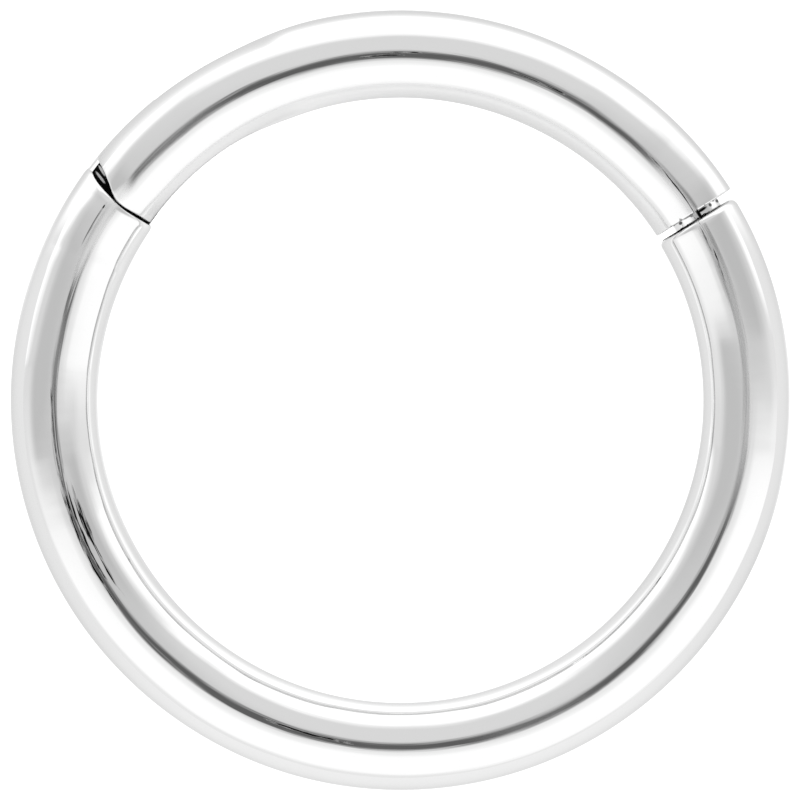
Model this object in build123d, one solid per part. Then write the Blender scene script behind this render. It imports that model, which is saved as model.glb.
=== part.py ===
from build123d import *
import math
import os

# A hinged segment ring: round wire bent to a circle and divided in two. The short arc, the segment,
# swings out on a pin at one end and closes with a peg in a socket at the other.
# Lengths are millimetres, angles degrees. The ring lies flat: Z is its own axis and z = 0 is the floor.
# Places along the circle are angles from +X, anticlockwise seen from above.

# The wire and the circle
wire_diameter = 1.6
inside_diameter = 11.0

# Where the circle is divided
hinge_angle = 143.5
closure_angle = 32.0
closure_gap = 0.13

# Rounding of the polished ends
ring_end_rounding = 0.13
segment_end_rounding = 0.06

# Hinge pin, placed from the point where the wire's middle line crosses the hinge
pin_diameter = 0.5
pin_along_wire = 0.88
pin_inset = 0.15
pin_seat_gap = 0.01
pin_running_gap = 0.025

# Ends that meet at the hinge: a round knuckle and a flatter heel on the segment, a hollow on the ring
knuckle_radius = 1.06
heel_radius = 2.5
hollow_radius = 2.0
hollow_lean = 4.5
hinge_gap = 0.042

# Tongue of the ring, in the middle plane, and the slot between the segment's two cheeks
tongue_thickness = 0.55
tongue_nose_radius = 1.1
tongue_edge_inset = 0.02
tongue_inner_relief = 0.08
tongue_side_gap = 0.03
slot_nose_gap = 0.27
slot_lean = 49.0

# Closing peg with a cone-shaped nose, and the socket that it seats in
peg_diameter = 0.95
peg_offset = 0.055
peg_nose_length = 0.32
peg_tip_diameter = 0.3
peg_root_depth = 0.3
socket_gap = 0.035

# Worked out from the sizes above
wire_radius = wire_diameter / 2
mean_radius = inside_diameter / 2 + wire_radius
beyond = inside_diameter + 2 * wire_diameter
closure_half_angle = math.degrees(math.asin(closure_gap / 2 / mean_radius))
pin_radius = pin_diameter / 2
pin_place = Vector(pin_along_wire, -pin_inset)
slot_reach = tongue_nose_radius + slot_nose_gap
slot_height = tongue_thickness + 2 * tongue_side_gap


def joint_plane(angle):
    """Plane on the wire's middle line: X runs clockwise along the wire, Y points away from the ring's centre."""
    turn = math.radians(angle)
    outward = Vector(math.cos(turn), math.sin(turn), 0)
    clockwise = Vector(math.sin(turn), -math.cos(turn), 0)
    return Plane(origin=outward * mean_radius + Vector(0, 0, wire_radius), x_dir=clockwise, z_dir=(0, 0, 1))


hinge_plane = joint_plane(hinge_angle)
closure_plane = joint_plane(closure_angle)


def bent_wire(start_angle, end_angle, radius=wire_radius):
    """Round wire on the ring's circle, anticlockwise from one angle to the other."""
    section = Plane(origin=(mean_radius, 0, wire_radius), x_dir=(1, 0, 0), z_dir=(0, -1, 0)) * Circle(radius)
    return Rot(0, 0, start_angle) * revolve(section, Axis.Z, end_angle - start_angle)


def angle_along(length):
    """The angle that a length of wire takes up on the circle's middle line."""
    return math.degrees(length / mean_radius)


def at_hinge(shape, place):
    """A shape set at a place of the hinge plane."""
    return hinge_plane * (Pos(place.X, place.Y, 0) * shape)


def round_end(solid, place, radius):
    """Rounds the edges of the end face that lies nearest to a place."""
    face = solid.faces().filter_by(lambda each: each.geom_type != GeomType.TORUS).sort_by_distance(place)[0]
    return fillet(face.edges(), radius)


def end_hollow():
    """Upright cylinder that hollows the ring's end, a running gap away from the knuckle."""
    reach = hollow_radius - knuckle_radius - hinge_gap
    lean = math.radians(hollow_lean)
    centre = pin_place + Vector(reach * math.cos(lean), -reach * math.sin(lean))
    return at_hinge(Cylinder(hollow_radius, beyond), centre)


def knuckle_block():
    """Upright block with the segment's hinge end as its edge: a knuckle about the pin, then the heel."""
    nose = pin_place - Vector(knuckle_radius, 0)
    heel_sweep = math.degrees(math.asin(wire_diameter / heel_radius))
    crown = CenterArc(pin_place, knuckle_radius, 90, 90)
    heel = CenterArc(nose + Vector(heel_radius, 0), heel_radius, 180, heel_sweep)
    rest = Polyline(
        heel @ 1,
        ((heel @ 1).X, -beyond),
        (beyond, -beyond),
        (beyond, beyond),
        (pin_place.X, beyond),
        crown @ 0,
    )
    outline = make_face(crown + heel + rest)
    return hinge_plane * extrude(outline, amount=wire_diameter, both=True)


def tongue():
    """Flat tongue of the ring: full width of the wire, round about the pin, relieved on the inside."""
    blade = bent_wire(
        hinge_angle - angle_along(pin_along_wire + 2 * tongue_nose_radius),
        hinge_angle + angle_along(knuckle_radius),
        wire_radius - tongue_edge_inset,
    )
    nose = at_hinge(Cylinder(tongue_nose_radius, tongue_thickness), pin_place)
    shank_length = pin_along_wire + knuckle_radius
    shank = at_hinge(
        Box(shank_length, beyond, tongue_thickness),
        pin_place - Vector(shank_length / 2, 0),
    )
    relief = Cylinder(inside_diameter / 2 + tongue_inner_relief, 2 * wire_diameter)
    return blade & (nose + shank) - relief


def pin_hole(gap):
    """Bore for the hinge pin with a gap all round."""
    return at_hinge(Cylinder(pin_radius + gap, beyond), pin_place)


def socket():
    """Mouth and cone that the peg's nose seats in."""
    mouth = Cylinder(peg_diameter / 2 + socket_gap, closure_gap / 2)
    seat = Cone(peg_diameter / 2 + socket_gap, peg_tip_diameter / 2 + socket_gap, peg_nose_length + socket_gap)
    shape = stack_along(mouth, seat, closure_gap / 2, peg_nose_length + socket_gap)
    return on_closure(shape, 0)


def stack_along(first, second, first_length, second_length):
    """Two shapes in line on Z, the first one starting at the origin."""
    return Pos(0, 0, first_length / 2) * first + Pos(0, 0, first_length + second_length / 2) * second


def on_closure(shape, start):
    """A shape on the Z axis turned to point along the wire into the ring's end."""
    lying = Rot(0, 90, 0) * shape
    return closure_plane * (Pos(start, peg_offset, 0) * lying)


def peg():
    """Round peg with a cone-shaped nose, rooted in the segment's free end."""
    shank_length = peg_root_depth + closure_gap
    shank = Cylinder(peg_diameter / 2, shank_length)
    nose = Cone(peg_diameter / 2, peg_tip_diameter / 2, peg_nose_length)
    shape = stack_along(shank, nose, shank_length, peg_nose_length)
    return on_closure(shape, closure_gap / 2 - shank_length)


def ring_body():
    """The long arc, with the hinge tongue at one end and the socket in the other."""
    hinge_start = hinge_angle - angle_along(wire_diameter)
    closure_end = 360 + closure_angle - closure_half_angle
    arc = bent_wire(hinge_start, closure_end) - end_hollow()
    arc = round_end(arc, hinge_plane.origin, ring_end_rounding)
    arc = round_end(arc, closure_plane.origin, ring_end_rounding)
    return arc + tongue() - pin_hole(pin_running_gap) - socket()


def fork_slot():
    """Saw cut between the cheeks, deeper on the outside so that the tongue can swing through it."""
    cut = at_hinge(
        Rot(0, 0, -slot_lean) * (Pos(slot_reach - beyond / 2, 0, 0) * Box(beyond, beyond, slot_height)),
        pin_place,
    )
    return cut


def hinged_segment():
    """The short arc that swings: two cheeks at the hinge, the closing peg at its free end."""
    closure_start = closure_angle + closure_half_angle
    hinge_end = hinge_angle + angle_along(wire_diameter)
    arc = bent_wire(closure_start, hinge_end) & knuckle_block()
    arc = round_end(arc, closure_plane.origin, segment_end_rounding)
    return arc + peg() - fork_slot() - pin_hole(pin_seat_gap)


def hinge_pin():
    """Pin through both cheeks and the tongue, its ends polished flush with the round wire."""
    reach = angle_along(pin_along_wire)
    around = bent_wire(hinge_angle - 2 * reach, hinge_angle + reach)
    return at_hinge(Cylinder(pin_radius, beyond), pin_place) & around


pieces = {
    "ring_body": ring_body,
    "hinged_segment": hinged_segment,
    "hinge_pin": hinge_pin,
}

os.makedirs("parts", exist_ok=True)
for name, make_piece in pieces.items():
    piece = make_piece()
    piece.label = name
    export_step(piece, f"parts/{name}.step")
    print(name, round(piece.volume, 3), "cubic mm")
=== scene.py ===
import math
import bpy
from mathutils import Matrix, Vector


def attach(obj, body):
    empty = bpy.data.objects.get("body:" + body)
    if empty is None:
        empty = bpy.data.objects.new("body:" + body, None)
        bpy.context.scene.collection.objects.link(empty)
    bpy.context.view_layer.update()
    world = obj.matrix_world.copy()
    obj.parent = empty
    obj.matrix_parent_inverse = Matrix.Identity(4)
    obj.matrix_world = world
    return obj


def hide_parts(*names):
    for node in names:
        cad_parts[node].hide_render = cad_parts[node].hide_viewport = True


# A hinged segment ring of polished surgical steel, lying flat on a pale floor under a light tent, seen from
# straight above. Lengths below are millimetres and angles degrees, and MM turns them to metres.
# Places along the circle are angles from +X, anticlockwise seen from above. A place out is measured from the
# wire's middle line, away from the ring's centre.

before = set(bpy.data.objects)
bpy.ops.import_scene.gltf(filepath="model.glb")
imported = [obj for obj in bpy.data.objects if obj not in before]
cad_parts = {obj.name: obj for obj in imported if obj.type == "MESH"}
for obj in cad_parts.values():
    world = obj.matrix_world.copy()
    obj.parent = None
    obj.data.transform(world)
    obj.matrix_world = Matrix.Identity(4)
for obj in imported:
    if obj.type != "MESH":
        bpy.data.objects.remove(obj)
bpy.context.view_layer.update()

MM = 0.001

# The wire and the circle, as in the CAD model
wire_radius = 0.8
bend_radius = 6.3
wire_height = wire_radius

# Where the circle is divided
hinge_angle = 143.5
closure_angle = 32.0
closure_gap = 0.13

# Rounding of the polished ends
ring_end_rounding = 0.13
ring_hinge_rounding_depth = 0.05
segment_end_rounding = 0.03
cheek_end_rounding = 0.04
hidden_end_rounding = 0.1

# Hinge: the pin's place, and the two ends seen from above as pairs of place across the wire and along it
pin_along = 0.88
pin_out = -0.15
knuckle_radius = 1.06
cheek_end_line = ((-0.80, -0.10), (-0.67, -0.125), (-0.50, -0.14), (-0.30, -0.165), (-0.15, -0.175),
                  (0.0, -0.16), (0.10, -0.12), (0.30, 0.01), (0.50, 0.125), (0.68, 0.22), (0.80, 0.28))
ring_end_line = ((-0.80, -0.143), (-0.67, -0.163), (-0.40, -0.191), (-0.20, -0.203), (0.0, -0.187),
                 (0.10, -0.17), (0.30, -0.135), (0.50, -0.085), (0.68, 0.0), (0.80, 0.06))
end_line_span = 0.85
end_line_reach = 0.4

# Angles from the hinge, in radians: the wire follows its end line in full up to the first, and not past the
# second
end_slide = (0.04, 0.3)

# The segment's ends stand a little outside the ring's circle
closure_stand_off = 0.035
hinge_stand_off = 0.025
stand_off_sweep = 36.0

# The segment's sides are filed flat where the slot runs out: the flats' reach from the wire's middle line,
# and the angles between which they deepen
side_flat_reach = 0.742
outer_flat_angles = (102.0, 117.0)
inner_flat_angles = (110.0, 123.5)

# Tongue, slot and pin
tongue_thickness = 0.55
tongue_nose_radius = 1.1
tongue_edge_inset = 0.02
tongue_inner_relief = 0.08
slot_height = 0.61
slot_reach = 1.37
slot_lean = 49.0
pin_radius = 0.25
pin_seat_gap = 0.01
pin_running_gap = 0.025
pin_half_length = 0.65

# The pin's broken ends: share of its length, and share of its radius left at the end
pin_edge_length = 0.03
pin_edge_width = 0.92

# Closing peg and its socket
peg_radius = 0.475
peg_offset = 0.055
peg_root_depth = 0.3
peg_nose_length = 0.32
peg_tip_share = 0.316
socket_gap = 0.035

# Mesh steps
steps_along_ring = 420
steps_along_segment = 260
steps_round = 112
face_rings = 6
corner_rings = 8
steps_along_blade = 90
turned_steps = 48
turned_sides = 64
pin_sides = 96
nose_sides = 192
relief_sides = 720
merge_distance = 0.0001
sharp_edge_angle = 30.0

# Facets that the polishing wheel left: angle on the circle, spread and lean inwards, all degrees
facets = ((30, 12, 1.3), (42, 22, 1.0), (47, 12, -2.2), (72, 14, 1.3), (92, 26, -1.0), (138, 14, -0.8),
          (166, 9, -2.0), (208, 22, 0.6), (246, 14, 1.4), (262, 22, -0.8), (300, 22, 1.2), (316, 10, -0.6),
          (1, 10, -1.3), (345, 9, 1.0), (151, 5, 2.6), (37, 7, 1.0), (120, 9, 0.5), (235, 24, -0.4),
          (15, 8, 0.5), (195, 6, -0.8))

# Flanks that lean inwards between two places out: angle, spread, the two places, and lean
flanks = ((200, 36, -0.2, -0.55, 6.0), (8, 34, -0.46, -0.70, -1.3), (178, 26, -0.46, -0.70, -1.3))

# Grooves along the wire, which flatten its crest, and ridges with a depth below zero, which sharpen it:
# angle, spread, place out, half width and depth
grooves = ((200, 10, -0.10, 0.085, 0.0065), (160, 7, -0.02, 0.05, 0.003), (187, 10, 0.01, 0.03, 0.0018),
           (150, 7, 0.123, 0.035, 0.003), (24, 10, -0.01, 0.2, 0.0055), (131, 12, -0.035, 0.09, 0.001),
           (118, 10, 0.02, 0.1, 0.0004), (235, 26, -0.01, 0.1, 0.001), (287, 10, 0.01, 0.1, 0.0007),
           (315, 10, 0.0, 0.1, 0.0006), (0, 9, 0.0, 0.1, -0.001),
           (180, 7, 0.0, 0.1, -0.0005), (270, 8, 0.0, 0.1, -0.0006), (195, 6, -0.03, 0.06, 0.0004))

# Black streaks of painted dark reflection on the crest: angle, spread, place out, half width and strength
streaks = ((201, 5.4, -0.152, 0.09, 0.9), (197, 3, -0.143, 0.035, 0.5), (206.5, 10, -0.152, 0.04, 0.8),
           (204, 15, 0.045, 0.055, 0.66), (202, 14, -0.04, 0.05, 0.66), (184, 11, 0.04, 0.03, 0.6),
           (195, 7.5, 0.014, 0.085, 0.5),
           (255, 10, -0.02, 0.045, 0.8), (66, 8, -0.01, 0.03, 0.6), (91, 6, 0.013, 0.03, 0.6),
           (95, 7, -0.035, 0.03, 0.6), (26, 8, -0.02, 0.07, 0.45), (38.5, 9, 0.03, 0.026, 0.62),
           (150.3, 5.5, 0.123, 0.009, 0.48), (146.9, 0.5, 0.123, 0.038, 0.5))

# Grain of the painted streaks: repeats per millimetre along, out and up, its weight beside a streak's
# strength, the sums between which it turns dark, and the strengths between which a streak begins to count
streak_grain = (2.5, 34.0, 34.0)
grain_detail = 2.0
streak_grain_weight = 2.0
streak_edge = (1.3, 1.65)
streak_fringe = (0.05, 0.2)

# Dull places on the crest: angle, spread and added roughness. The segment's inner flank is dull past the
# first of two places out, fully so at the second.
dull_places = ((14, 42, 0.24), (36, 9, 0.14), (172, 14, 0.14), (151, 12, 0.4), (132, 18, 0.12),
               (293, 14, 0.1), (347, 14, 0.05))
crest_half_width = 0.16
dull_flank = (-0.42, -0.6, 0.26)

# Grain of the polish: repeats per millimetre along, out and up, and height. Waves about 2 mm long, marks
# across the wire about 0.3 mm apart, hairlines along it about 0.06 mm apart, and finer ones on the crest.
# Real hairlines are finer still and wouldn't show, so they are drawn coarser.
polish_grain = (((0.5, 1.0, 1.0), 0.018), ((3.5, 0.8, 0.8), 0.001), ((0.6, 16.0, 16.0), 0.0009))
polish_detail = 1.0
crest_hairline_grain = (0.9, 22.0, 22.0)
crest_hairline_depth = 0.0015

# The cheeks' ends are crowned towards the ring, and their edges along the slot are broken by hand
crown_start = 0.46
crown_height = 0.2
crown_power = 2.0
crown_middle = 150.0
crown_sweep = 14.0
edge_sweep = 22.0
edge_middle = 127.0
edge_start = 0.57
edge_end = 0.75
edge_drop = 0.06
edge_full_share = 0.5

# Black painted shade in the hinge's crevice: its start and end from the pin, and where it fades along the
# wire. Painted highlight lines are left bare of it: place along and out at the hinge at both ends of the
# line.
crevice_start = 0.97
crevice_end = 1.8
crevice_reach = (0.45, 0.75)
painted_highlight_lines = (((0.052, 0.65), (-0.035, 0.34)), ((0.175, 0.67), (0.075, 0.42)))
highlight_line_half_width = 0.032
highlight_line_overrun = 1.2
highlight_line_edge = (0.1, 0.4)

# The tongue's flat where it shows: it slopes outwards past two places out, most at its broken edge
rim_start = 0.675
rim_slope = 0.5
wedge_end = 1.25
wedge_floor_start = 0.3
wedge_floor_slope = 0.35

# Ground surfaces in the wire's middle: how far from its middle line they reach, and their half height
flat_depth = 0.765
flat_height = 0.32

# Black painted shade in the closure's seam: the angle it stays within, its grain per millimetre, and the
# places out between which its line changes in width
closure_sweep = 7.0
least_share = 0.01
closure_grain = (2.5, 9.0, 9.0)
seam_step = (0.25, 0.35)

# The ragged line of painted shade at the ring's end face
ring_seam_widths = (0.004, -0.004)
seam_raggedness = 0.02
seam_inset = 0.01
closure_edge_depth = 0.63

# The line of painted shade at the ring's face on the peg, its flares where the grain is strong, and how far
# it goes in
peg_seam_widths = (0.006, -0.01)
flare_grain = (0.54, 0.8)
flare_height = 0.03
peg_line = 0.04

# Spots of painted shade at the segment's end face: where they thin out on both sides, half width, grain and
# strength
blot_fade = (0.4, 0.6)
blot_half_width = 0.05
blot_grain = (0.42, 0.32)
blot_strength = 0.55

# Painted shade spots on the peg: place along and out at the closure, half length along and half width out,
# and strength
peg_shade_spots = ((0.0, 0.09, 0.1, 0.032, 1.0), (-0.034, 0.175, 0.028, 0.1, 1.0),
              (-0.03, 0.352, 0.034, 0.028, 0.8), (-0.025, 0.5, 0.034, 0.028, 0.8),
              (-0.03, -0.28, 0.028, 0.034, 0.8), (-0.055, -0.1, 0.014, 0.1, 0.5))
shade_spot_edge = (0.75, 1.25)

# Steel loses some of its reflection towards a grazing look: the colour at about 82 degrees
edge_tint = "#E4E4E4"

# Steel: colours and roughness of the mirror polish, the ground flats, and the black painted shade and dark
# reflections
mirror_colour = "#DBDBDB"
mirror_roughness = 0.05
ground_colour = "#C3C3C3"
ground_roughness = 0.45
# Black for the painted shade in the joints and the painted dark reflections on the crest
painted_dark_colour = "#131313"
painted_dark_roughness = 0.6

# Pin: drawing lines per millimetre across and along it, coarser than real ones so that they show
pin_colour = "#CDCDCD"
pin_lines = (40, 40, 1)
pin_line_edge = (0.3, 0.7)
pin_roughness = (0.2, 0.35)

# Light tent: radiance by direction, where 1.0 is white on the picture. A panel is where the ray lies on the
# inner side of each of its edges. An edge is the inner direction across it, its offset and how soft it is.
tent_surround = 1.05
lens_hole = 0.15
hole_place = (0.0, -0.04)
hole_size = (0.135, 0.185)
hole_softness = 0.6
least_ray_height = 0.001
panels = (
    ("front skirt", 1.13, (((0.3, -1.0, 0.0), 0.0, 0.2), ((-0.1, -1.0, 0.0), 0.0, 0.2))),
    ("front sheet", 1.42, (((0.3, -1.0, 0.0), 0.0, 0.3), ((-0.08, -1.0, 0.0), 0.0, 0.22),
                           ((0.12, 0.17, 1.0), 0.0, 0.1), ((0.0, 0.0, -1.0), -0.91, 0.07))),
    ("back sheet", 1.5, (((-0.25, 1.0, 0.0), 0.0, 0.14), ((0.105, 1.0, 0.0), 0.0, 0.08))),
    ("grey card overhead", 0.96, (((0.0, -1.0, 1.28), 0.0, 0.14), ((0.035, 1.0, 0.0), 0.0, 0.08),
                                  ((-0.17, 1.0, 0.0), 0.0, 0.08))),
    ("card on the right", 0.96, (((0.7, -0.72, 0.0), 0.0, 0.12), ((-0.3, 0.0, 1.0), 0.0, 0.16),
                                 ((0.035, 1.0, 0.0), 0.0, 0.08))),
    ("card on the left", 0.94, (((-0.84, -0.55, 0.0), 0.0, 0.12), ((0.75, 0.0, 1.0), 0.0, 0.16),
                                ((-0.17, 1.0, 0.0), 0.0, 0.08))),
    ("flag on the left", 0.73, (((-0.62, -0.79, 0.0), 0.0, 0.22), ((-0.2, 1.0, 0.0), 0.0, 0.1),
                                ((0.53, -0.48, 1.0), 0.0, 0.2))),
    ("flag on the right", 0.70, (((-0.12, 1.0, 0.0), 0.0, 0.1), ((0.62, -0.79, 0.0), -0.04, 0.18),
                                 ((-0.55, 0.0, 1.0), 0.0, 0.26))),
)

# Floor: a white sheet that glows with painted light, brighter behind the ring, in its front half and at its
# foot
floor_colour = "#707070"
floor_emission = 0.93
floor_glow = 0.5
floor_reach = 1500.0
glow_place = (-0.35, -2.1, 0.0)
glow_radius = 2.0
glow_softness = 1.1
back_glow_start = 9.2
back_glow_softness = 1.2
foot_glow = 0.45
front_lift = 0.1
foot_glow_half_width = 1.05
foot_glow_softness = 0.3

# Where the floor's front and back begin: the slope from the centre, as a place's Y over its distance
back_slopes = (0.34, 0.6)
front_slopes = (-0.9, -0.5)

# Brighter spots, at the ring's foot and inside it: place, radius and added light
foot_spots = (((7.4, -0.3, 0.0), 2.9, 0.7), ((-7.0, 2.6, 0.0), 2.2, 0.4), ((-4.9, -0.6, 0.0), 3.6, 0.45))
foot_spot_reach = (1.0, 1.9)
inner_spots = (((-2.2, 3.4, 0.0), 3.2, 0.2),)

# Camera straight above the ring
view_width = 14.556
camera_height = 300.0
sensor_width = 36.0
camera_clip = (10.0, 10000.0)
camera_place = (-0.011, 0.0036)

# A length that reaches past the part, and half the angle of the closure's gap
beyond = 14.2
mean_closure_half = math.degrees(math.asin(closure_gap / 2 / bend_radius))

# The kinds of node used most, the setting for a soft step, and a colour mix's inputs by number
MATH = "ShaderNodeMath"
VECTOR = "ShaderNodeVectorMath"
RANGE = "ShaderNodeMapRange"
SOFT = {"interpolation_type": "SMOOTHSTEP"}
FACTOR, COLOUR_A, COLOUR_B = 0, 6, 7


def linear(hex_colour):
    """sRGB hex colour as linear red, green, blue and full opacity."""
    parts = [int(hex_colour[place:place + 2], 16) / 255 for place in (1, 3, 5)]
    return (*(part / 12.92 if part <= 0.04045 else ((part + 0.055) / 1.055) ** 2.4 for part in parts), 1.0)


def add(tree, kind, inputs=(), **settings):
    """Adds a node with its settings. Inputs are values or links, in order, by name or by number. A list
    stands for several links."""
    made = tree.nodes.new(kind)
    for name, value in settings.items():
        setattr(made, name, value)
    for place, value in inputs.items() if isinstance(inputs, dict) else enumerate(inputs):
        for source in value if isinstance(value, list) else [value]:
            if isinstance(source, bpy.types.Node):
                source = source.outputs[0]
            if isinstance(source, bpy.types.NodeSocket):
                tree.links.new(source, made.inputs[place])
            else:
                made.inputs[place].default_value = source
    return made


SOCKETS = {int: "NodeSocketInt", float: "NodeSocketFloat", tuple: "NodeSocketVector"}


def new_tree(name, sizes, with_mesh=False):
    """A geometry tree with one named input for each size. Returns the tree and its inputs by name."""
    tree = bpy.data.node_groups.new(name, "GeometryNodeTree")
    tree.interface.new_socket("Mesh", in_out="OUTPUT", socket_type="NodeSocketGeometry")
    if with_mesh:
        tree.interface.new_socket("Mesh", in_out="INPUT", socket_type="NodeSocketGeometry")
    for label, value in sizes.items():
        socket = tree.interface.new_socket(label, in_out="INPUT", socket_type=SOCKETS[type(value)])
        socket.default_value = value
    return tree, add(tree, "NodeGroupInput").outputs


def bent_wire_tree():
    """Round wire bent to a circle between two angles, with rounded ends: a grid wrapped round the circle."""
    sizes = {
        "Wire radius": wire_radius * MM,
        "Bend radius": bend_radius * MM,
        "Height": wire_height * MM,
        "Start angle": 0.0,
        "End angle": 1.0,
        "Start rounding": hidden_end_rounding * MM,
        "Start depth": hidden_end_rounding * MM,
        "End rounding": hidden_end_rounding * MM,
        "End depth": hidden_end_rounding * MM,
        "Start stand-off": 0.0,
        "End stand-off": 0.0,
        "Flat reach": wire_radius * MM,
        "Outer flat start": 0.0,
        "Outer flat end": 1.0,
        "Inner flat start": 0.0,
        "Inner flat end": 1.0,
        "Steps along": steps_along_blade,
        "Steps round": steps_round,
    }
    tree, size = new_tree("bent_round_wire", sizes)
    end_rings = face_rings + corner_rings
    steps = add(tree, MATH, [size["Steps along"], 2.0 * end_rings], operation="ADD")
    columns = add(tree, MATH, [steps, 1.0], operation="ADD")
    rows = add(tree, MATH, [size["Steps round"], 1.0], operation="ADD")
    grid = add(tree, "GeometryNodeMeshGrid", [steps, 1.0, columns, rows])
    place = add(tree, "ShaderNodeSeparateXYZ", [add(tree, "GeometryNodeInputPosition")])
    step = add(tree, MATH, [steps, 0.5, place.outputs[0]], operation="MULTIPLY_ADD")
    turn = add(tree, MATH, [place.outputs[1], math.tau, math.pi], operation="MULTIPLY_ADD")

    sweep = add(tree, MATH, [size["End angle"], size["Start angle"]], operation="SUBTRACT")
    length = add(tree, MATH, [sweep, size["Bend radius"]], operation="MULTIPLY")
    first_face = add(tree, MATH, [size["Wire radius"], size["Start depth"]], operation="SUBTRACT")
    last_face = add(tree, MATH, [size["Wire radius"], size["End depth"]], operation="SUBTRACT")
    length_left = add(tree, MATH, [length, size["Start rounding"]], operation="SUBTRACT")
    run_length = add(tree, MATH, [length_left, size["End rounding"]], operation="SUBTRACT")
    run_end = add(tree, MATH, [steps, float(end_rings)], operation="SUBTRACT")
    last_corner = add(tree, MATH, [steps, float(face_rings)], operation="SUBTRACT")

    face_a = add(tree, RANGE, [step, 0.0, float(face_rings), 0.0, first_face])
    bend_a = add(tree, RANGE, [step, float(face_rings), float(end_rings), 0.0, math.pi / 2])
    run = add(tree, RANGE, [step, float(end_rings), run_end, 0.0, run_length])
    bend_b = add(tree, RANGE, [step, run_end, last_corner, 0.0, math.pi / 2])
    face_b = add(tree, RANGE, [step, last_corner, steps, 0.0, last_face])

    rise_a = add(tree, MATH, [add(tree, MATH, [bend_a], operation="SINE"), size["Start depth"], face_a],
                 operation="MULTIPLY_ADD")
    fall_b = add(tree, MATH, [1.0, add(tree, MATH, [bend_b], operation="COSINE")], operation="SUBTRACT")
    drop_b = add(tree, MATH, [fall_b, size["End depth"], face_b], operation="MULTIPLY_ADD")
    radius = add(tree, MATH, [rise_a, drop_b], operation="SUBTRACT")

    lead_a = add(tree, MATH, [1.0, add(tree, MATH, [bend_a], operation="COSINE")], operation="SUBTRACT")
    along_a = add(tree, MATH, [lead_a, size["Start rounding"], run], operation="MULTIPLY_ADD")
    along = add(tree, MATH, [add(tree, MATH, [bend_b], operation="SINE"), size["End rounding"], along_a],
                operation="MULTIPLY_ADD")

    angle = add(tree, MATH, [add(tree, MATH, [along, size["Bend radius"]], operation="DIVIDE"),
                             size["Start angle"]], operation="ADD")
    stand_off = size["Bend radius"]
    for end, ahead in (("Start", 1.0), ("End", -1.0)):
        gone = add(tree, MATH, [add(tree, MATH, [angle, size[end + " angle"]], operation="SUBTRACT"), ahead],
                   operation="MULTIPLY")
        share = add(tree, RANGE, [gone, 0.0, math.radians(stand_off_sweep), 1.0, 0.0], **SOFT)
        stand_off = add(tree, MATH, [share, size[end + " stand-off"], stand_off], operation="MULTIPLY_ADD")
    side = add(tree, MATH, [add(tree, MATH, [turn], operation="COSINE"), radius], operation="MULTIPLY")
    for label, sign, limit in (("Outer", 1.0, "MINIMUM"), ("Inner", -1.0, "MAXIMUM")):
        flat = add(tree, RANGE, [angle, size[label + " flat start"], size[label + " flat end"],
                                 size["Wire radius"], size["Flat reach"]], **SOFT)
        flat = add(tree, MATH, [flat, sign], operation="MULTIPLY")
        side = add(tree, MATH, [side, flat], operation=limit)
    reach = add(tree, MATH, [side, stand_off], operation="ADD")
    lift = add(tree, MATH, [add(tree, MATH, [turn], operation="SINE"), radius, size["Height"]],
               operation="MULTIPLY_ADD")
    across = add(tree, MATH, [add(tree, MATH, [angle], operation="COSINE"), reach], operation="MULTIPLY")
    upward = add(tree, MATH, [add(tree, MATH, [angle], operation="SINE"), reach], operation="MULTIPLY")
    wrapped = add(tree, "GeometryNodeSetPosition", {
        "Geometry": grid,
        "Position": add(tree, "ShaderNodeCombineXYZ", [across, upward, lift]),
    })
    closed = add(tree, "GeometryNodeMergeByDistance", {"Geometry": wrapped, "Distance": merge_distance * MM})
    add(tree, "NodeGroupOutput", [closed])
    return tree


def draw_curve(node, shares):
    """Puts a float curve through pairs of shares. The curve comes with its first two points."""
    points = node.mapping.curves[0].points
    for number, share in enumerate(shares):
        point = points[number] if number < 2 else points.new(*share)
        point.location = share


def shaped_end_tree(name, end_line):
    """Slides the wire's end along the circle until it ends on a line drawn from above."""
    sizes = {
        "Bend radius": bend_radius * MM,
        "End angle": math.radians(hinge_angle),
        "Line span": end_line_span * MM,
        "Line reach": end_line_reach * MM,
    }
    tree, size = new_tree(name, sizes, with_mesh=True)
    position = add(tree, "GeometryNodeInputPosition")
    turned_back = add(tree, MATH, [size["End angle"], -1.0], operation="MULTIPLY")
    local = add(tree, "ShaderNodeVectorRotate", {"Vector": position, "Angle": turned_back},
                rotation_type="Z_AXIS")
    flat = add(tree, VECTOR, [local, (1.0, 1.0, 0.0)], operation="MULTIPLY")
    reach = add(tree, VECTOR, [flat], operation="LENGTH").outputs["Value"]
    parts = add(tree, "ShaderNodeSeparateXYZ", [flat])
    away = add(tree, MATH, [add(tree, MATH, [parts.outputs[1], parts.outputs[0]], operation="ARCTAN2")],
               operation="ABSOLUTE")
    out = add(tree, MATH, [reach, size["Bend radius"]], operation="SUBTRACT")
    across = add(tree, MATH, [add(tree, MATH, [out, size["Line span"]], operation="DIVIDE"), 0.5, 0.5],
                 operation="MULTIPLY_ADD")
    line = add(tree, "ShaderNodeFloatCurve", [1.0, across])
    draw_curve(line, [(0.5 + place / end_line_span / 2, 0.5 + along / end_line_reach / 2)
                      for place, along in end_line])
    line.mapping.update()
    along = add(tree, MATH, [add(tree, MATH, [line, -0.5], operation="ADD"), 2.0], operation="MULTIPLY")
    along = add(tree, MATH, [along, size["Line reach"]], operation="MULTIPLY")
    weight = add(tree, RANGE, [away, *end_slide, -1.0, 0.0], **SOFT)
    slide = add(tree, MATH, [along, reach], operation="DIVIDE")
    slide = add(tree, MATH, [slide, weight], operation="MULTIPLY")
    moved = add(tree, "ShaderNodeVectorRotate", {"Vector": position, "Angle": slide}, rotation_type="Z_AXIS")
    placed = add(tree, "GeometryNodeSetPosition", {"Geometry": size["Mesh"], "Position": moved})
    add(tree, "NodeGroupOutput", [placed])
    return tree


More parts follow.
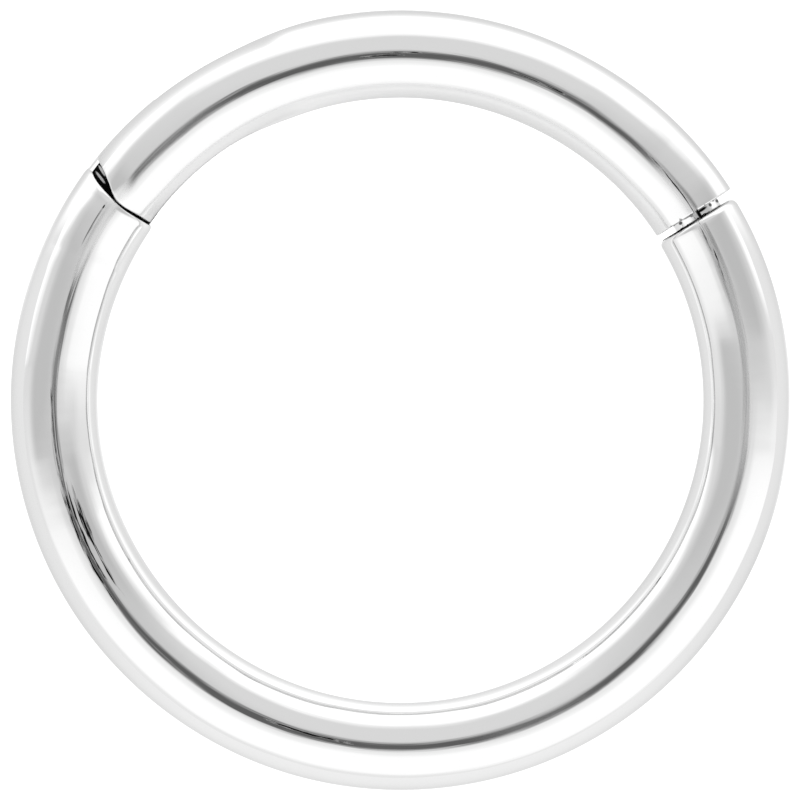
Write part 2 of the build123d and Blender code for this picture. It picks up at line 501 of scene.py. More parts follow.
bent_wire = bent_wire_tree()
ring_hinge_end = shaped_end_tree("ring_hinge_end", ring_end_line)
cheek_end = shaped_end_tree("cheek_end", cheek_end_line)


def joint_axes(angle):
    """Directions at a joint: along the wire clockwise, and out from the ring's centre."""
    turn = math.radians(angle)
    return Vector((math.sin(turn), -math.cos(turn), 0.0)), Vector((math.cos(turn), math.sin(turn), 0.0))


def beside_joint(angle, along, out):
    """Point on the floor in millimetres: clockwise along the wire from a joint, out from its middle line."""
    clockwise, outward = joint_axes(angle)
    return outward * (bend_radius + out) + clockwise * along


def at_joint(angle, along, out, up=wire_height):
    """Point in metres beside a joint, at a height."""
    return tuple((beside_joint(angle, along, out) + Vector((0, 0, up))) * MM)


def turned(tree, start, end, radius, shape):
    """Part turned on a lathe between two points. The shape gives shares of its length and of its radius."""
    line = add(tree, "GeometryNodeCurvePrimitiveLine", [start, end])
    steps = add(tree, "GeometryNodeResampleCurve", {"Curve": line, "Count": turned_steps})
    profile = add(tree, "GeometryNodeCurvePrimitiveCircle", {"Resolution": turned_sides, "Radius": radius})
    share = add(tree, "ShaderNodeFloatCurve", [1.0, add(tree, "GeometryNodeSplineParameter")])
    draw_curve(share, shape)
    for point in share.mapping.curves[0].points:
        point.handle_type = "VECTOR"
    share.mapping.update()
    return add(tree, "GeometryNodeCurveToMesh", [steps, profile, share, True])


def joined(tree, operation, base, parts):
    """Adds parts to a solid, cuts them from it, or keeps what they share with it."""
    if operation == "DIFFERENCE":
        inputs = {"Mesh 1": base, "Mesh 2": parts}
    else:
        inputs = {"Mesh 2": [base, *parts]}
    return add(tree, "GeometryNodeMeshBoolean", inputs, operation=operation, solver="MANIFOLD")


def pin_shape(tree, size, radius, half_length):
    """Upright cylinder on the pin's axis."""
    cylinder = add(tree, "GeometryNodeMeshCylinder", {
        "Vertices": pin_sides,
        "Radius": radius,
        "Depth": add(tree, MATH, [half_length, 2.0], operation="MULTIPLY"),
    })
    return add(tree, "GeometryNodeTransform", {"Geometry": cylinder, "Translation": size["Pin place"]})


def finish_tree(tree, mesh, material):
    """Ends a piece's tree: one real mesh with its material."""
    real = add(tree, "GeometryNodeRealizeInstances", [mesh])
    painted = add(tree, "GeometryNodeSetMaterial", {"Geometry": real, "Material": material})
    add(tree, "NodeGroupOutput", [painted])


def ring_body_tree(sizes, material):
    """The long arc with its hollow hinge end, the flat tongue in its middle plane and the peg's socket."""
    tree, size = new_tree("ring_body", sizes)
    arc = add(tree, "GeometryNodeGroup", {
        "Start angle": size["Hinge angle"],
        "End angle": size["Closure end"],
        "Start rounding": size["End rounding"],
        "Start depth": size["Hinge rounding depth"],
        "End rounding": size["End rounding"],
        "End depth": size["End rounding"],
        "Steps along": size["Steps along"],
    }, node_tree=bent_wire)
    arc = add(tree, "GeometryNodeGroup", {"Mesh": arc, "End angle": size["Hinge angle"]},
              node_tree=ring_hinge_end)
    blade = add(tree, "GeometryNodeGroup", {
        "Wire radius": size["Tongue edge radius"],
        "Flat reach": size["Tongue edge radius"],
        "Start angle": size["Tongue start"],
        "End angle": size["Tongue root"],
        "Steps along": steps_along_blade,
    }, node_tree=bent_wire)
    nose = add(tree, "GeometryNodeMeshCylinder", {
        "Vertices": nose_sides,
        "Radius": size["Tongue nose radius"],
        "Depth": size["Tongue thickness"],
    })
    nose = add(tree, "GeometryNodeTransform", {"Geometry": nose, "Translation": size["Pin place"]})
    shank_size = add(tree, "ShaderNodeCombineXYZ",
                     [size["Shank length"], size["Beyond"], size["Tongue thickness"]])
    shank = add(tree, "GeometryNodeMeshCube", {"Size": shank_size})
    shank = add(tree, "GeometryNodeTransform", {
        "Geometry": shank,
        "Translation": size["Shank place"],
        "Rotation": add(tree, "ShaderNodeCombineXYZ", [0.0, 0.0, size["Hinge turn"]]),
    })
    slab = joined(tree, "UNION", nose, [shank])
    blade = joined(tree, "INTERSECT", blade, [slab])
    relief = add(tree, "GeometryNodeMeshCylinder", {
        "Vertices": relief_sides,
        "Radius": size["Relief radius"],
        "Depth": size["Beyond"],
    })
    blade = joined(tree, "DIFFERENCE", blade, [relief])
    body = joined(tree, "UNION", arc, [blade])
    hole = pin_shape(tree, size, size["Pin hole radius"], size["Beyond"])
    socket = turned(tree, size["Socket mouth"], size["Socket end"], size["Socket radius"], socket_profile)
    body = joined(tree, "DIFFERENCE", body, [hole, socket])
    finish_tree(tree, body, material)
    return tree


def segment_tree(sizes, material):
    """The short arc: two cheeks with a saw cut between them at the hinge, and the closing peg."""
    tree, size = new_tree("hinged_segment", sizes)
    arc = add(tree, "GeometryNodeGroup", {
        "Start angle": size["Closure start"],
        "End angle": size["Hinge angle"],
        "Start rounding": size["Closure rounding"],
        "Start depth": size["Closure rounding"],
        "End rounding": size["Cheek rounding"],
        "End depth": size["Cheek rounding"],
        "Flat reach": size["Side flat reach"],
        "Outer flat start": size["Outer flat start"],
        "Outer flat end": size["Outer flat end"],
        "Inner flat start": size["Inner flat start"],
        "Inner flat end": size["Inner flat end"],
        "Start stand-off": size["Closure stand-off"],
        "End stand-off": size["Hinge stand-off"],
        "Steps along": size["Steps along"],
    }, node_tree=bent_wire)
    arc = add(tree, "GeometryNodeGroup", {"Mesh": arc, "End angle": size["Hinge angle"]}, node_tree=cheek_end)
    peg = turned(tree, size["Peg root"], size["Peg tip"], size["Peg radius"], peg_profile)
    arc = joined(tree, "UNION", arc, [peg])
    cut_size = add(tree, "ShaderNodeCombineXYZ", [size["Beyond"], size["Beyond"], size["Slot height"]])
    cut = add(tree, "GeometryNodeMeshCube", {"Size": cut_size})
    cut = add(tree, "GeometryNodeTransform", {
        "Geometry": cut,
        "Translation": size["Slot place"],
        "Rotation": add(tree, "ShaderNodeCombineXYZ", [0.0, 0.0, size["Slot turn"]]),
    })
    bore = pin_shape(tree, size, size["Pin bore radius"], size["Pin bore half length"])
    arc = joined(tree, "DIFFERENCE", arc, [cut, bore])
    finish_tree(tree, arc, material)
    return tree


def pin_tree(sizes, material):
    """Plain pin with slightly rounded ends, held in both cheeks."""
    tree, size = new_tree("hinge_pin", sizes)
    pin = turned(tree, size["Pin foot"], size["Pin head"], size["Pin radius"], pin_profile)
    finish_tree(tree, pin, material)
    return tree


def new_material(name):
    """New material: itself, its tree and its shader."""
    material = bpy.data.materials.new(name)
    material.use_nodes = True
    return material, material.node_tree, material.node_tree.nodes["Principled BSDF"]


def object_place(tree):
    """A surface point in millimetres, in the object's own frame."""
    coordinates = add(tree, "ShaderNodeTexCoord").outputs["Object"]
    return add(tree, VECTOR, [coordinates, (1 / MM, 1 / MM, 1 / MM)], operation="MULTIPLY")


def surface_place(tree, seam_up):
    """Where a surface point is, in millimetres: along the straightened wire, out and up from its middle line,
    its depth from that line, and its direction from the ring's centre."""
    point = object_place(tree)
    parts = add(tree, "ShaderNodeSeparateXYZ", [point])
    facing = add(tree, MATH, [parts.outputs[1], -1.0 if seam_up else 1.0], operation="MULTIPLY")
    angle = add(tree, MATH, [parts.outputs[0], facing], operation="ARCTAN2")
    flat = add(tree, VECTOR, [point, (1.0, 1.0, 0.0)], operation="MULTIPLY")
    reach = add(tree, VECTOR, [flat], operation="LENGTH").outputs["Value"]
    along = add(tree, MATH, [angle, bend_radius], operation="MULTIPLY")
    out = add(tree, MATH, [reach, bend_radius], operation="SUBTRACT")
    up = add(tree, MATH, [parts.outputs[2], wire_height], operation="SUBTRACT")
    section = add(tree, "ShaderNodeCombineXYZ", [out, up, 0.0])
    return {
        "flat": flat,
        "direction": add(tree, VECTOR, [flat], operation="NORMALIZE"),
        "wire": add(tree, "ShaderNodeCombineXYZ", [along, out, up]),
        "out": out,
        "up": up,
        "depth": add(tree, VECTOR, [section], operation="LENGTH").outputs["Value"],
    }


def near(tree, place, where, spread):
    """1 at an angle on the circle, falling softly to 0 at the spread."""
    outward = tuple(joint_axes(where)[1])
    facing = add(tree, VECTOR, [place["direction"], outward], operation="DOT_PRODUCT").outputs["Value"]
    return add(tree, RANGE, [facing, math.cos(math.radians(spread)), 1.0, 0.0, 1.0], **SOFT)


def soft_line(tree, value, middle, width):
    """1 where a value is at the middle, falling softly to 0 at the width on both sides."""
    off = add(tree, MATH, [value, middle], operation="SUBTRACT")
    off = add(tree, MATH, [off], operation="ABSOLUTE")
    return add(tree, RANGE, [off, 0.0, width, 1.0, 0.0], **SOFT)


def patch_share(tree, place, where, spread, out, width):
    """1 at a place on the wire, falling softly to 0 along it and across it."""
    return add(tree, MATH, [near(tree, place, where, spread), soft_line(tree, place["out"], out, width)],
               operation="MULTIPLY")


def past(tree, value, start):
    """How far a value is past a start, or 0 before it."""
    over = add(tree, MATH, [value, start], operation="SUBTRACT")
    return add(tree, MATH, [over, 0.0], operation="MAXIMUM")


def noise_on_wire(tree, place, repeats, detail):
    """Noise that repeats so often per millimetre along, out and up from the straightened wire."""
    spot = add(tree, VECTOR, [place["wire"], repeats], operation="MULTIPLY")
    return add(tree, "ShaderNodeTexNoise", {"Vector": spot, "Scale": 1.0, "Detail": detail})


def from_pin(tree, place):
    """Distance from the hinge pin's axis in millimetres, seen from above."""
    pin = tuple(beside_joint(hinge_angle, pin_along, pin_out))
    return add(tree, VECTOR, [place["flat"], pin], operation="DISTANCE").outputs["Value"]


def from_joint(tree, place, angle):
    """Distance from a joint in millimetres, clockwise along the wire."""
    clockwise = tuple(joint_axes(angle)[0])
    return add(tree, VECTOR, [place["flat"], clockwise], operation="DOT_PRODUCT").outputs["Value"]


def in_middle(tree, place):
    """1 at the height of the tongue's flats and the slot's walls."""
    off = add(tree, MATH, [place["up"]], operation="ABSOLUTE")
    return add(tree, MATH, [off, flat_height], operation="LESS_THAN")


def wheel_relief(tree, place):
    """Height in millimetres of what the polishing wheel left: facets, flanks, grooves and grain."""
    height = 0.0
    for where, spread, lean in facets:
        slope = add(tree, MATH, [near(tree, place, where, spread), math.tan(math.radians(lean))],
                    operation="MULTIPLY")
        height = add(tree, MATH, [slope, place["out"], height], operation="MULTIPLY_ADD")
    for where, spread, start, end, lean in flanks:
        rise = (end - start) * math.tan(math.radians(lean))
        rise = add(tree, RANGE, [place["out"], start, end, 0.0, rise], **SOFT)
        height = add(tree, MATH, [near(tree, place, where, spread), rise, height], operation="MULTIPLY_ADD")
    for where, spread, out, width, depth in grooves:
        share = patch_share(tree, place, where, spread, out, width)
        height = add(tree, MATH, [share, -depth, height], operation="MULTIPLY_ADD")
    for repeats, amount in polish_grain:
        noise = noise_on_wire(tree, place, repeats, polish_detail)
        height = add(tree, MATH, [noise, amount, height], operation="MULTIPLY_ADD")
    noise = noise_on_wire(tree, place, crest_hairline_grain, polish_detail)
    on_crest = add(tree, MATH, [soft_line(tree, place["out"], 0.0, crest_half_width), crest_hairline_depth],
                   operation="MULTIPLY")
    return add(tree, MATH, [noise, on_crest, height], operation="MULTIPLY_ADD")


def painted_crest_streaks(tree, place):
    """Ragged black streaks along the wire's top: painted dark reflection on the crest."""
    marks = 0.0
    for where, spread, out, width, strength in streaks:
        mark = patch_share(tree, place, where, spread, out, width)
        mark = add(tree, MATH, [mark, strength], operation="MULTIPLY")
        marks = add(tree, MATH, [mark, marks], operation="MAXIMUM")
    noise = noise_on_wire(tree, place, streak_grain, grain_detail)
    ragged = add(tree, MATH, [noise, streak_grain_weight, marks], operation="MULTIPLY_ADD")
    dark = add(tree, RANGE, [ragged, *streak_edge, 0.0, 1.0])
    marked = add(tree, RANGE, [marks, *streak_fringe, 0.0, 1.0])
    dark = add(tree, MATH, [dark, marked], operation="MULTIPLY")
    on_top = add(tree, MATH, [place["up"], 0.0], operation="GREATER_THAN")
    return add(tree, MATH, [dark, on_top], operation="MULTIPLY")


def cheek_relief(tree, place):
    """Height in millimetres of the crown on the cheeks' ends and of the broken edges along their slot."""
    crown = add(tree, MATH, [past(tree, from_pin(tree, place), crown_start), crown_power], operation="POWER")
    at_cheek = near(tree, place, crown_middle, crown_sweep)
    crown = add(tree, MATH, [crown, at_cheek], operation="MULTIPLY")
    height = add(tree, MATH, [crown, -crown_height], operation="MULTIPLY")
    side = add(tree, MATH, [place["out"]], operation="ABSOLUTE")
    drop = add(tree, RANGE, [side, edge_start, edge_end, 0.0, -edge_drop])
    facing = near(tree, place, edge_middle, edge_sweep)
    along_slot = add(tree, RANGE, [facing, 0.0, edge_full_share, 0.0, 1.0], **SOFT)
    return add(tree, MATH, [drop, along_slot, height], operation="MULTIPLY_ADD")


def flat_share(tree, place):
    """1 on the ground surfaces in the wire's middle: the tongue's flats and the slot's walls."""
    below_skin = add(tree, MATH, [place["depth"], flat_depth], operation="LESS_THAN")
    at_hinge = add(tree, MATH, [from_pin(tree, place), crevice_end], operation="LESS_THAN")
    below_rim = add(tree, MATH, [place["out"], rim_start], operation="LESS_THAN")
    flats = add(tree, MATH, [in_middle(tree, place), below_skin], operation="MULTIPLY")
    flats = add(tree, MATH, [flats, below_rim], operation="MULTIPLY")
    return add(tree, MATH, [flats, at_hinge], operation="MULTIPLY")


def tongue_relief(tree, place):
    """Height in millimetres of the tongue's flat where it shows between the cheeks and the ring's end: it
    slopes outwards, most at its broken edge."""
    in_wedge = add(tree, MATH, [from_pin(tree, place), wedge_end], operation="LESS_THAN")
    shown = add(tree, MATH, [in_middle(tree, place), in_wedge], operation="MULTIPLY")
    height = 0.0
    for start, slope in ((wedge_floor_start, wedge_floor_slope), (rim_start, rim_slope)):
        height = add(tree, MATH, [past(tree, place["out"], start), -slope, height], operation="MULTIPLY_ADD")
    return add(tree, MATH, [height, shown], operation="MULTIPLY")


def hinge_painted_shade(tree, place, flats):
    """Black painted shade in the crevice by the tongue, with lines left bare of it as painted highlights."""
    beyond_cheek = add(tree, MATH, [from_pin(tree, place), crevice_start], operation="GREATER_THAN")
    painted_dark = add(tree, MATH, [beyond_cheek, flats], operation="MULTIPLY")
    by_ring = add(tree, RANGE, [from_joint(tree, place, hinge_angle), *crevice_reach, 1.0, 0.0], **SOFT)
    painted_dark = add(tree, MATH, [painted_dark, by_ring], operation="MULTIPLY")
    # Lines left bare of the painted shade: painted highlights where the edges catch the light
    for start, end in painted_highlight_lines:
        foot, tip = beside_joint(hinge_angle, *start), beside_joint(hinge_angle, *end)
        course = (tip - foot).normalized()
        from_foot = add(tree, VECTOR, [place["flat"], tuple(foot)], operation="SUBTRACT")
        run = add(tree, VECTOR, [from_foot, tuple(course)], operation="DOT_PRODUCT").outputs["Value"]
        beside = add(tree, VECTOR, [from_foot, (-course.y, course.x, 0.0)],
                     operation="DOT_PRODUCT").outputs["Value"]
        half = (tip - foot).length / 2
        line = add(tree, MATH, [soft_line(tree, run, half, half * highlight_line_overrun),
                                soft_line(tree, beside, 0.0, highlight_line_half_width)], operation="MULTIPLY")
        highlight_gap = add(tree, RANGE, [line, *highlight_line_edge, 1.0, 0.0])
        painted_dark = add(tree, MATH, [painted_dark, highlight_gap], operation="MULTIPLY")
    return painted_dark


def ring_seam_shade(tree, place, along, noise):
    """A ragged black line of painted shade at the ring's end face."""
    width = add(tree, RANGE, [place["out"], *seam_step, *ring_seam_widths])
    width = add(tree, MATH, [noise, seam_raggedness, width], operation="MULTIPLY_ADD")
    edge = add(tree, MATH, [width, closure_gap / 2 - seam_inset], operation="ADD")
    dark = add(tree, MATH, [along, edge], operation="LESS_THAN")
    at_skin = add(tree, MATH, [place["depth"], closure_edge_depth], operation="GREATER_THAN")
    return add(tree, MATH, [dark, at_skin], operation="MULTIPLY")


def peg_painted_shade(tree, place, along, noise):
    """A black line of painted shade with flares where the peg enters the ring, and spots of painted shade on
    the peg.
    """
    flare = add(tree, RANGE, [noise, *flare_grain, 0.0, flare_height])
    foot = add(tree, RANGE, [place["out"], *seam_step, *peg_seam_widths])
    foot = add(tree, MATH, [foot, flare], operation="ADD")
    ring_face = add(tree, MATH, [foot, along], operation="ADD")
    dark = add(tree, MATH, [ring_face, closure_gap / 2], operation="GREATER_THAN")
    at_mouth = add(tree, MATH, [along, closure_gap / 2 + peg_line], operation="LESS_THAN")
    for spot_along, spot_out, half_length, half_width, strength in peg_shade_spots:
        ahead = add(tree, MATH, [along, 1 / half_length, -spot_along / half_length],
                    operation="MULTIPLY_ADD")
        beside = add(tree, MATH, [place["out"], 1 / half_width, -spot_out / half_width],
                     operation="MULTIPLY_ADD")
        away = add(tree, VECTOR, [add(tree, "ShaderNodeCombineXYZ", [ahead, beside, 0.0])],
                   operation="LENGTH")
        shade_spot = add(tree, RANGE, [away.outputs["Value"], *shade_spot_edge, strength, 0.0])
        dark = add(tree, MATH, [dark, shade_spot], operation="MAXIMUM")
    return add(tree, MATH, [dark, at_mouth], operation="MULTIPLY")


def face_shade_spots(tree, place, along, noise):
    """Spots of painted shade at the segment's end face."""
    side = add(tree, MATH, [place["out"]], operation="ABSOLUTE")
    inside = add(tree, RANGE, [side, *blot_fade, blot_half_width, 0.0])
    blot = add(tree, RANGE, [noise, *blot_grain, 0.0, inside])
    seam = add(tree, MATH, [along, closure_gap / 2], operation="ADD")
    seam = add(tree, MATH, [seam], operation="ABSOLUTE")
    seam = add(tree, MATH, [seam, blot], operation="LESS_THAN")
    return add(tree, MATH, [seam, blot_strength], operation="MULTIPLY")


def closure_painted_shade(tree, place, on_ring):
    """Painted shade along the seam of the closure, on the ring's side of it or on the segment's."""
    along = from_joint(tree, place, closure_angle)
    noise = noise_on_wire(tree, place, closure_grain, grain_detail)
    here = near(tree, place, closure_angle, closure_sweep)
    here = add(tree, MATH, [here, least_share], operation="GREATER_THAN")
    if on_ring:
        dark = ring_seam_shade(tree, place, along, noise)
    else:
        dark = add(tree, MATH, [peg_painted_shade(tree, place, along, noise),
                                face_shade_spots(tree, place, along, noise)], operation="MAXIMUM")
    return add(tree, MATH, [dark, here], operation="MULTIPLY")


def polished_steel(name, on_ring):
    """316L surgical steel, mirror polished on a soft wheel: nearly colourless, lumpy in its reflections,
    duller on the crest in places. Its ground surfaces inside the joints are satin. Black shade is painted
    into the joints, and black streaks of painted dark reflection onto the crest."""
    material, tree, shader = new_material(name)
    shader.inputs["Metallic"].default_value = 1.0
    shader.inputs["Specular Tint"].default_value = linear(edge_tint)
    place = surface_place(tree, on_ring)
    shaped = tongue_relief(tree, place) if on_ring else cheek_relief(tree, place)
    height = add(tree, MATH, [wheel_relief(tree, place), shaped], operation="ADD")
    bump = add(tree, "ShaderNodeBump", {"Strength": 1.0, "Distance": MM, "Height": height})
    tree.links.new(bump.outputs[0], shader.inputs["Normal"])

    flats = flat_share(tree, place)
    # Black painted shade in the hinge's crevice and the closure's seam, and painted dark reflection streaks
    # on the crest
    painted_dark = add(tree, MATH, [hinge_painted_shade(tree, place, flats), closure_painted_shade(tree, place, on_ring)],
                  operation="MAXIMUM")
    painted_dark = add(tree, MATH, [painted_dark, painted_crest_streaks(tree, place)], operation="MAXIMUM")
    crest = add(tree, MATH,
                [soft_line(tree, place["out"], 0.0, crest_half_width),
                 add(tree, MATH, [place["up"], 0.0], operation="GREATER_THAN")], operation="MULTIPLY")
    roughness = mirror_roughness
    for where, spread, added in dull_places:
        share = add(tree, MATH, [near(tree, place, where, spread), crest], operation="MULTIPLY")
        roughness = add(tree, MATH, [share, added, roughness], operation="MULTIPLY_ADD")
    if not on_ring:
        start, end, added = dull_flank
        dull = add(tree, RANGE, [place["out"], start, end, 0.0, added], **SOFT)
        roughness = add(tree, MATH, [roughness, dull], operation="ADD")
    roughness = add(tree, "ShaderNodeMix", {"Factor": flats, "A": roughness, "B": ground_roughness})
    roughness = add(tree, "ShaderNodeMix", {"Factor": painted_dark, "A": roughness, "B": painted_dark_roughness})
    tree.links.new(roughness.outputs[0], shader.inputs["Roughness"])
    colour = linear(mirror_colour)
    for share, cover in ((flats, ground_colour), (painted_dark, painted_dark_colour)):
        inputs = {FACTOR: share, COLOUR_A: colour, COLOUR_B: linear(cover)}
        colour = add(tree, "ShaderNodeMix", inputs, data_type="RGBA").outputs[2]
    tree.links.new(colour, shader.inputs["Base Color"])
    return material


def drawn_pin_steel():
    """Hard drawn steel wire: a dull bright grey with fine lines along it."""
    material, tree, shader = new_material("drawn_pin_steel")
    shader.inputs["Base Color"].default_value = linear(pin_colour)
    shader.inputs["Metallic"].default_value = 1.0
    coordinates = add(tree, "ShaderNodeTexCoord").outputs["Object"]
    repeats = tuple(count / MM for count in pin_lines)
    place = add(tree, VECTOR, [coordinates, repeats], operation="MULTIPLY")
    lines = add(tree, "ShaderNodeTexNoise", {"Vector": place, "Scale": 1.0, "Detail": grain_detail})
    dull = add(tree, RANGE, [lines, *pin_line_edge, *pin_roughness])
    tree.links.new(dull.outputs[0], shader.inputs["Roughness"])
    return material


def make_piece(name, tree, sizes):
    """Runs a tree on an empty object and keeps the result as a plain mesh at the origin."""
    source = bpy.data.objects.new(name + "_source", bpy.data.meshes.new(name + "_source"))
    bpy.context.scene.collection.objects.link(source)
    modifier = source.modifiers.new("nodes", "NODES")
    modifier.node_group = tree
    for item in tree.interface.items_tree:
        if item.in_out == "INPUT":
            modifier[item.identifier] = sizes[item.name]
    depsgraph = bpy.context.evaluated_depsgraph_get()
    mesh = bpy.data.meshes.new_from_object(source.evaluated_get(depsgraph))
    mesh.name = name
    piece = bpy.data.objects.new(name, mesh)
    bpy.context.scene.collection.objects.link(piece)
    bpy.data.objects.remove(source)
    mesh.shade_smooth()
    mesh.set_sharp_from_angle(angle=math.radians(sharp_edge_angle))
    return piece


pin_place = at_joint(hinge_angle, pin_along, pin_out)
hinge_turn = math.radians(hinge_angle - 90)
tongue_span = math.degrees((pin_along + 2 * tongue_nose_radius) / bend_radius)
shank_length = pin_along + knuckle_radius
socket_length = closure_gap / 2 + peg_nose_length + socket_gap
peg_length = peg_root_depth + closure_gap + peg_nose_length
peg_shoulder = (peg_root_depth + closure_gap) / peg_length
slot_centre = slot_reach - beyond / 2

peg_profile = ((0.0, 1.0), (1.0, peg_tip_share), (peg_shoulder, 1.0))
socket_profile = ((0.0, 1.0), (1.0, peg_tip_share), (closure_gap / 2 / socket_length, 1.0))
pin_profile = (
    (0.0, pin_edge_width),
    (1.0, pin_edge_width),
    (pin_edge_length, 1.0),
    (1 - pin_edge_length, 1.0),
)

ring_sizes = {
    "Hinge angle": math.radians(hinge_angle),
    "Closure end": math.radians(360 + closure_angle - mean_closure_half),
    "End rounding": ring_end_rounding * MM,
    "Hinge rounding depth": ring_hinge_rounding_depth * MM,
    "Steps along": steps_along_ring,
    "Tongue edge radius": (wire_radius - tongue_edge_inset) * MM,
    "Tongue start": math.radians(hinge_angle - tongue_span),
    "Tongue root": math.radians(hinge_angle + math.degrees(knuckle_radius / bend_radius)),
    "Tongue nose radius": tongue_nose_radius * MM,
    "Tongue thickness": tongue_thickness * MM,
    "Shank length": shank_length * MM,
    "Shank place": at_joint(hinge_angle, pin_along - shank_length / 2, pin_out),
    "Hinge turn": hinge_turn,
    "Pin place": pin_place,
    "Pin hole radius": (pin_radius + pin_running_gap) * MM,
    "Relief radius": (bend_radius - wire_radius + tongue_inner_relief) * MM,
    "Socket mouth": at_joint(closure_angle, 0.0, peg_offset),
    "Socket end": at_joint(closure_angle, socket_length, peg_offset),
    "Socket radius": (peg_radius + socket_gap) * MM,
    "Beyond": beyond * MM,
}
segment_sizes = {
    "Hinge angle": math.radians(hinge_angle),
    "Closure start": math.radians(closure_angle + mean_closure_half),
    "Closure rounding": segment_end_rounding * MM,
    "Cheek rounding": cheek_end_rounding * MM,
    "Side flat reach": side_flat_reach * MM,
    "Outer flat start": math.radians(outer_flat_angles[0]),
    "Outer flat end": math.radians(outer_flat_angles[1]),
    "Inner flat start": math.radians(inner_flat_angles[0]),
    "Inner flat end": math.radians(inner_flat_angles[1]),
    "Steps along": steps_along_segment,
    "Closure stand-off": closure_stand_off * MM,
    "Hinge stand-off": hinge_stand_off * MM,
    "Peg root": at_joint(closure_angle, -closure_gap / 2 - peg_root_depth, peg_offset),
    "Peg tip": at_joint(closure_angle, closure_gap / 2 + peg_nose_length, peg_offset),
    "Peg radius": peg_radius * MM,
    "Slot height": slot_height * MM,
    "Slot place": at_joint(
        hinge_angle,
        pin_along + slot_centre * math.cos(math.radians(slot_lean)),
        pin_out - slot_centre * math.sin(math.radians(slot_lean)),
    ),
    "Slot turn": hinge_turn - math.radians(slot_lean),
    "Pin place": pin_place,
    "Pin bore radius": (pin_radius + pin_seat_gap) * MM,
    "Pin bore half length": (pin_half_length + pin_seat_gap) * MM,
    "Beyond": beyond * MM,
}
pin_sizes = {
    "Pin foot": at_joint(hinge_angle, pin_along, pin_out, wire_height - pin_half_length),
    "Pin head": at_joint(hinge_angle, pin_along, pin_out, wire_height + pin_half_length),
    "Pin radius": pin_radius * MM,
}

ring_steel = polished_steel("polished_surgical_steel_ring", True)
segment_steel = polished_steel("polished_surgical_steel_segment", False)
pin_steel = drawn_pin_steel()

builds = (
    ("ring_body_wire", "ring_body", "ring", ring_body_tree(ring_sizes, ring_steel), ring_sizes),
    ("hinged_segment_wire", "hinged_segment", "segment", segment_tree(segment_sizes, segment_steel),
     segment_sizes),
    ("hinge_pin_steel", "hinge_pin", "segment", pin_tree(pin_sizes, pin_steel), pin_sizes),
)
for name, node, body, tree, sizes in builds:
    piece = make_piece(name, tree, sizes)
    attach(piece, body)
    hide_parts(node)
    triangles = sum(len(face.vertices) - 2 for face in piece.data.polygons)
    print("piece", name, len(piece.data.polygons), triangles)


def panel_share(tree, ray, edges):
    """How far a ray is inside a panel, from 0 to 1."""
    share = 1.0
    for inward, offset, softness in edges:
        depth = add(tree, VECTOR, [ray, tuple(Vector(inward).normalized())],
                    operation="DOT_PRODUCT").outputs["Value"]
        inside = add(tree, RANGE, [depth, offset - softness, offset + softness, 0.0, 1.0], **SOFT)
        share = add(tree, MATH, [inside, share], operation="MULTIPLY")
    return share


def light_tent():
    """A soft white tent round the ring: white sheets in front and behind, a grey card and two flags overhead,
    and a dark hole for the lens."""
    world = bpy.data.worlds.new("light_tent")
    world.use_nodes = True
    bpy.context.scene.world = world
    tree = world.node_tree
    background = tree.nodes["Background"]
    background.inputs["Color"].default_value = (1.0, 1.0, 1.0, 1.0)
    ray = add(tree, "ShaderNodeTexCoord").outputs["Generated"]
    ray = add(tree, VECTOR, [ray], operation="NORMALIZE")
    level = tent_surround
    for label, radiance, edges in panels:
        share = panel_share(tree, ray, edges)
        level = add(tree, "ShaderNodeMix", {"Factor": share, "A": level, "B": radiance}, label=label)
    parts = add(tree, "ShaderNodeSeparateXYZ", [ray])
    height = add(tree, MATH, [parts.outputs[2], least_ray_height], operation="MAXIMUM")
    sides = []
    for number in (0, 1):
        spread = add(tree, MATH, [parts.outputs[number], height], operation="DIVIDE")
        spread = add(tree, MATH, [spread, hole_place[number]], operation="SUBTRACT")
        sides.append(add(tree, MATH, [spread, hole_size[number]], operation="DIVIDE"))
    away = add(tree, VECTOR, [add(tree, "ShaderNodeCombineXYZ", [*sides, 0.0])], operation="LENGTH")
    hole = add(tree, RANGE, [away.outputs["Value"], 1.0 - hole_softness, 1.0 + hole_softness, 1.0, 0.0],
               **SOFT)
    level = add(tree, "ShaderNodeMix", {"Factor": hole, "A": level, "B": lens_hole})
    tree.links.new(level.outputs[0], background.inputs["Strength"])


light_tent()


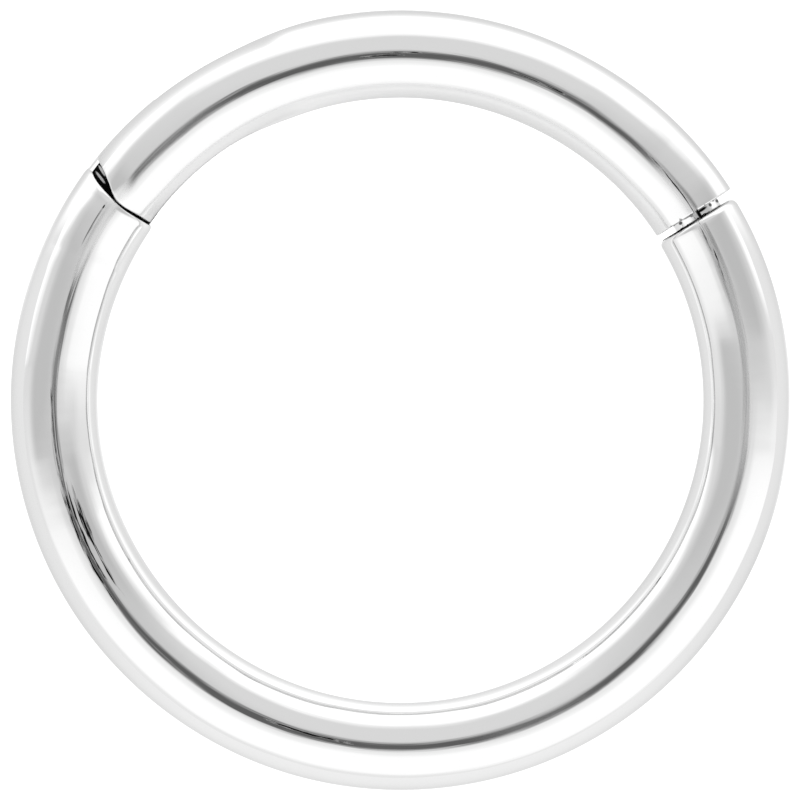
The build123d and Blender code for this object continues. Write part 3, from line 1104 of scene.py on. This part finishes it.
def white_floor():
    """The pale sheet the ring lies on: it glows with painted light and is lit by the tent, so it shows pure
    white.
    """
    material, tree, shader = new_material("lit_white_sheet")
    shader.inputs["Base Color"].default_value = linear(floor_colour)
    shader.inputs["Roughness"].default_value = 1.0
    shader.inputs["Specular IOR Level"].default_value = 0.0
    shader.inputs["Emission Color"].default_value = (1.0, 1.0, 1.0, 1.0)
    place = object_place(tree)
    parts = add(tree, "ShaderNodeSeparateXYZ", [place])
    reach = add(tree, VECTOR, [place], operation="LENGTH").outputs["Value"]
    outside = add(tree, RANGE, [reach, back_glow_start - back_glow_softness,
                                back_glow_start + back_glow_softness, 0.0, 1.0], **SOFT)
    slope = add(tree, MATH, [parts.outputs[1], reach], operation="DIVIDE")
    behind = add(tree, RANGE, [slope, *back_slopes, 0.0, 1.0], **SOFT)
    back_glow = add(tree, MATH, [outside, behind], operation="MULTIPLY")
    off_middle = add(tree, VECTOR, [place, glow_place], operation="DISTANCE").outputs["Value"]
    middle_glow = add(tree, RANGE, [off_middle, glow_radius - glow_softness, glow_radius + glow_softness, 1.0,
                                    0.0], **SOFT)
    glow = add(tree, MATH, [back_glow, middle_glow], operation="MAXIMUM")
    from_foot = add(tree, MATH, [reach, bend_radius], operation="SUBTRACT")
    from_foot = add(tree, MATH, [from_foot], operation="ABSOLUTE")
    at_foot = add(tree, RANGE, [from_foot, foot_glow_half_width - foot_glow_softness,
                                foot_glow_half_width + foot_glow_softness, foot_glow, 0.0], **SOFT)
    glow = add(tree, MATH, [glow, at_foot], operation="MAXIMUM")
    in_front = add(tree, RANGE, [slope, *front_slopes, front_lift, 0.0], **SOFT)
    level = add(tree, MATH, [glow, floor_glow, floor_emission], operation="MULTIPLY_ADD")
    level = add(tree, MATH, [level, in_front], operation="ADD")
    by_foot = add(tree, RANGE, [from_foot, *foot_spot_reach, 1.0, 0.0], **SOFT)
    for spots, share in ((foot_spots, by_foot), (inner_spots, 1.0)):
        for spot, radius, light in spots:
            away = add(tree, VECTOR, [place, spot], operation="DISTANCE").outputs["Value"]
            lit = add(tree, RANGE, [away, 0.0, radius, light, 0.0], **SOFT)
            level = add(tree, MATH, [lit, share, level], operation="MULTIPLY_ADD")
    tree.links.new(level.outputs[0], shader.inputs["Emission Strength"])
    mesh = bpy.data.meshes.new("floor")
    reach = floor_reach * MM
    mesh.from_pydata([(-reach, -reach, 0), (reach, -reach, 0), (reach, reach, 0), (-reach, reach, 0)], [],
                     [(0, 1, 2, 3)])
    mesh.materials.append(material)
    floor = bpy.data.objects.new("floor", mesh)
    bpy.context.scene.collection.objects.link(floor)


white_floor()

# Camera straight above the ring
camera_data = bpy.data.cameras.new("camera")
camera_data.sensor_width = sensor_width
camera_data.lens = sensor_width * (camera_height - wire_height) / view_width
camera_data.clip_start, camera_data.clip_end = (distance * MM for distance in camera_clip)
camera = bpy.data.objects.new("camera", camera_data)
camera.location = (camera_place[0] * MM, camera_place[1] * MM, camera_height * MM)
bpy.context.scene.collection.objects.link(camera)
bpy.context.scene.camera = camera

bpy.context.scene.view_settings.view_transform = "Standard"
bpy.context.scene.view_settings.look = "None"
